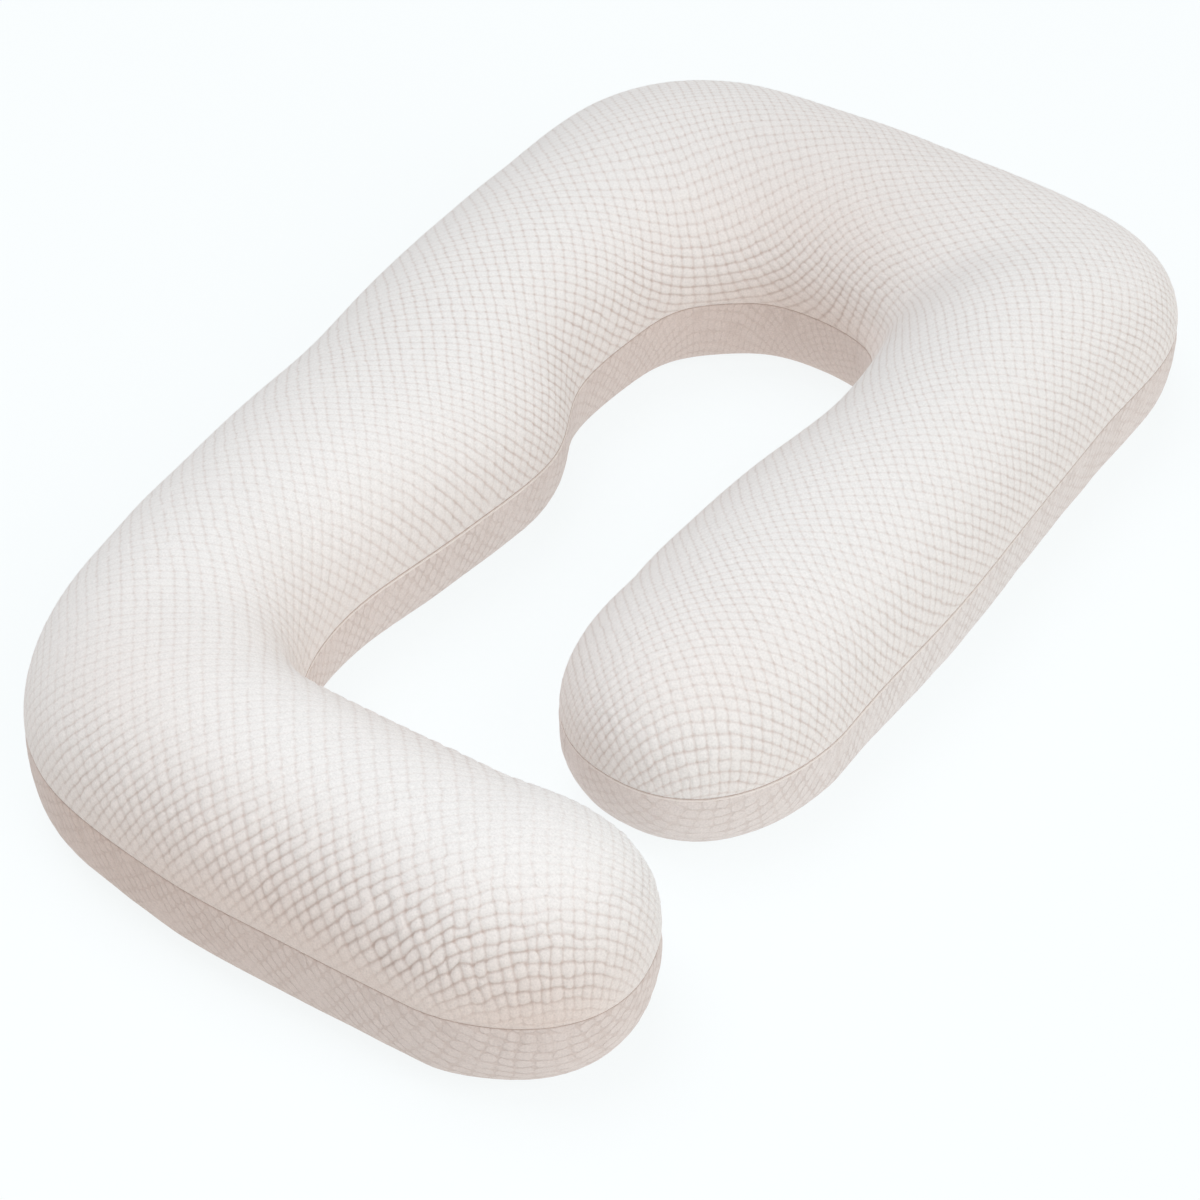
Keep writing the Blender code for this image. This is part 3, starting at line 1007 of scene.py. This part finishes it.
def bubbleGrooves(knit):  # how dark the grooves between the bubbles are painted, the knit's net with painted shade in it, and how deep
    names = ("columnEdge", "columnCut", "rowEdge", "rowCut")
    column, row, reach, cut = grooveReach(knit, *(valueOf(knit, name) for name in names))
    # dark dots where grooves cross: painted shade in the deepest hollows
    crossing = softRange(knit, times(knit, column, row), *grooveShade["crossing"])
    dots = times(knit, crossing, valueOf(knit, "dots"))
    line = mathNode(knit, "ADD", softRange(knit, reach, *grooveShade["line"]), dots)
    slope = softRange(knit, reach, *grooveShade["slope"])
    return times(knit, line, cut), times(knit, slope, cut)


stretchedNet = {
    "sway": 0.75,  # how far its lines stray, in cells, by clouds: how many to a metre, and their detail
    "swayClouds": (55.0, 2.0),
    "line": (0.76, 1.04),  # how near to a line its shade begins, and where it is full
    "columnShare": 0.65,  # how plain the lines along the columns are, next to the rows'
    "patchClouds": (34.0, 2.0),  # patches where it comes and goes
    "patches": (0.15, 0.6),
}


def stretchedGrooves(knit, coordinates):  # the same for the thin lines left where the cloth is stretched
    net = stretchedNet
    sway = cloudNode(knit, coordinates, *net["swayClouds"])
    stray = addNode(knit, "ShaderNodeSeparateXYZ", Vector=(sway, "Color"))
    edges = []
    for place, name in enumerate(("columnPhase", "rowPhase")):
        phase = mathNode(knit, "MULTIPLY_ADD", (stray, place), net["sway"], valueOf(knit, name))
        edges.append(times(knit, mathNode(knit, "PINGPONG", phase, 0.5), 2.0))
    _, _, reach, cut = grooveReach(knit, edges[0], net["columnShare"], edges[1], 1.0)
    line = times(knit, softRange(knit, reach, *net["line"]), cut)
    patches = cloudNode(knit, coordinates, *net["patchClouds"])
    depth = times(knit, softRange(knit, patches, *net["patches"]), valueOf(knit, "net"))
    shown = times(knit, line, depth)
    # the net, with the painted shade of the gathers' hollows and the table edge
    return mathNode(knit, "MAXIMUM", shown, valueOf(knit, "paintedFoldAndEdgeShade")), shown


def knitMaterial(name):
    look, yarn = knitLooks[name], knitYarn
    knit = emptyMaterial(name)
    coordinates = addNode(knit, "ShaderNodeTexCoord")
    fibre = cloudNode(knit, coordinates, *yarn["fibres"])
    if "plain" in look:
        colour, height = linearColour(look["plain"]), times(knit, fibre, yarn["plainFuzz"])
    else:
        dark, deep = stretchedGrooves(knit, coordinates) if look.get("stretched") else bubbleGrooves(knit)
        crown, side, groove = (linearColour(look[part]) for part in ("crown", "side", "groove"))
        # how much groove colour shows: the knit's net, with painted shade in its grooves, its fold hollows
        # and along the table
        grooveShare = mathNode(knit, "MULTIPLY", dark, look["lineShare"], clamp=True)
        # the lit crown colour and the shaded side colour, mixed by painted shade, then the groove colour over
        # them
        mixed = mixColours(knit, grooveShare, mixColours(knit, valueOf(knit, "steep"), crown, side), groove)
        speckle = mathNode(knit, "MULTIPLY_ADD", fibre, *yarn["speckle"])
        colour = addNode(knit, "ShaderNodeHueSaturation", Value=speckle, Color=mixed)
        height = mathNode(knit, "MULTIPLY_ADD", fibre, yarn["fuzz"], times(knit, deep, -1.0))
    bump = addNode(knit, "ShaderNodeBump", Strength=look["bump"], Distance=yarn["bumpDepth"], Height=height)
    shader = addNode(
        knit, "ShaderNodeBsdfPrincipled", Base_Color=colour, Roughness=yarn["roughness"], Normal=bump,
        Sheen_Weight=yarn["sheen"], Sheen_Roughness=yarn["sheenRoughness"], Specular_IOR_Level=yarn["shine"],
    )
    addNode(knit, "ShaderNodeOutputMaterial", Surface=shader)
    return knit


pieces = (
    (upperPanel(), "white_bubble_knit"),
    (lowerPanel(), "stretched_bubble_knit"),
    (seamThread(), "seam_thread_painted_shade"),
    (seamLip(), "turned_seam_edge"),
)
for piece, materialName in pieces:
    piece.data.materials.append(knitMaterial(materialName))
    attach(piece, "root")
    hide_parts("filled_pillow")
print("materials ready")
